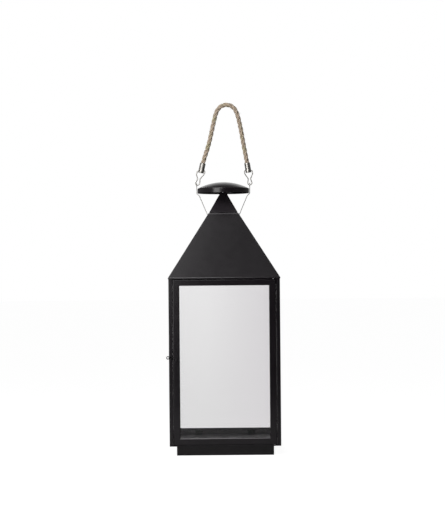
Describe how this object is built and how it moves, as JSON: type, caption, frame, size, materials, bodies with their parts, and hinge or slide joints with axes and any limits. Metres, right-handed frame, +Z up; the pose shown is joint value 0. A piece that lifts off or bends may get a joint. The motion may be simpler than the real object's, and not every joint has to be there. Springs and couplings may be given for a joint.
{
  "type": "candle lantern",
  "caption": "Square black sheet-metal candle lantern with glazed sides, a hinged hook-latched door, a pyramid roof with a domed vent cap, and a rope carrying handle on wire bails.",
  "frame": {"origin": "centre of the plinth's underside, on the surface that the lantern stands on", "axes": "+Z up, the door faces -Y, +X to the right as seen from the front, towards the door's hinges"},
  "size_m": [0.2047, 0.203, 0.6399],
  "materials": {
    "black_paint": "satin black powder coat",
    "glass": "clear float glass",
    "nickel": "bright nickel plate",
    "zinc_steel": "zinc-plated steel",
    "jute": "three-strand natural jute rope"
  },
  "bodies": {
    "lantern": {"bottom_rail_back": "black_paint", "bottom_rail_front": "black_paint", "bottom_rail_left": "black_paint", "bottom_rail_right": "black_paint", "cap_nut": "zinc_steel", "cap_stud": "zinc_steel", "corner_post_back_left": "black_paint", "corner_post_back_right": "black_paint", "corner_post_front_left": "black_paint", "corner_post_front_right": "black_paint", "floor_pan": "black_paint", "hinge_washer": "zinc_steel", "latch_keeper": "black_paint", "pane_back": "glass", "pane_clips_back": "black_paint", "pane_clips_left": "black_paint", "pane_clips_right": "black_paint", "pane_left": "glass", "pane_right": "glass", "plinth": "black_paint", "roof": "black_paint", "top_rail_back": "black_paint", "top_rail_front": "black_paint", "top_rail_left": "black_paint", "top_rail_right": "black_paint", "vent_cap": "black_paint", "vent_hood": "black_paint"},
    "door": {"door_stile_latch": "black_paint", "door_stile_hinge": "black_paint", "door_rail_top": "black_paint", "door_rail_bottom": "black_paint", "door_pane": "glass", "door_clips": "black_paint", "hinge_pin_top": "zinc_steel", "hinge_pin_bottom": "zinc_steel", "latch_rivet": "black_paint"},
    "latch": {"latch_hook": "black_paint"},
    "bails": {"bail_wire_left": "nickel", "bail_wire_right": "nickel"},
    "links": {"link_left": "nickel", "link_right": "nickel"},
    "handle": {"ferrule_left": "nickel", "ferrule_right": "nickel", "handle_rope": "jute"}
  },
  "joints": [
    {"name": "door_hinge", "type": "hinge", "parent": "lantern", "child": "door", "pos_m": [0.088, -0.0966, 0.167], "axis": [0, 0, 1], "range_deg": [0, 110]},
    {"name": "latch_pivot", "type": "hinge", "parent": "door", "child": "latch", "pos_m": [-0.0862, -0.1006, 0.171], "axis": [0, 1, 0], "range_deg": [-18, 70]},
    {"name": "bail_swing", "type": "hinge", "parent": "lantern", "child": "bails", "pos_m": [0, 0, 0.434], "axis": [1, 0, 0], "range_deg": [-100, 100]},
    {"name": "link_swing", "type": "hinge", "parent": "bails", "child": "links", "pos_m": [0, 0, 0.4882], "axis": [1, 0, 0], "range_deg": [-25, 25]},
    {"name": "handle_swing", "type": "hinge", "parent": "links", "child": "handle", "pos_m": [0, 0, 0.5145], "axis": [1, 0, 0], "range_deg": [-25, 25]}
  ]
}
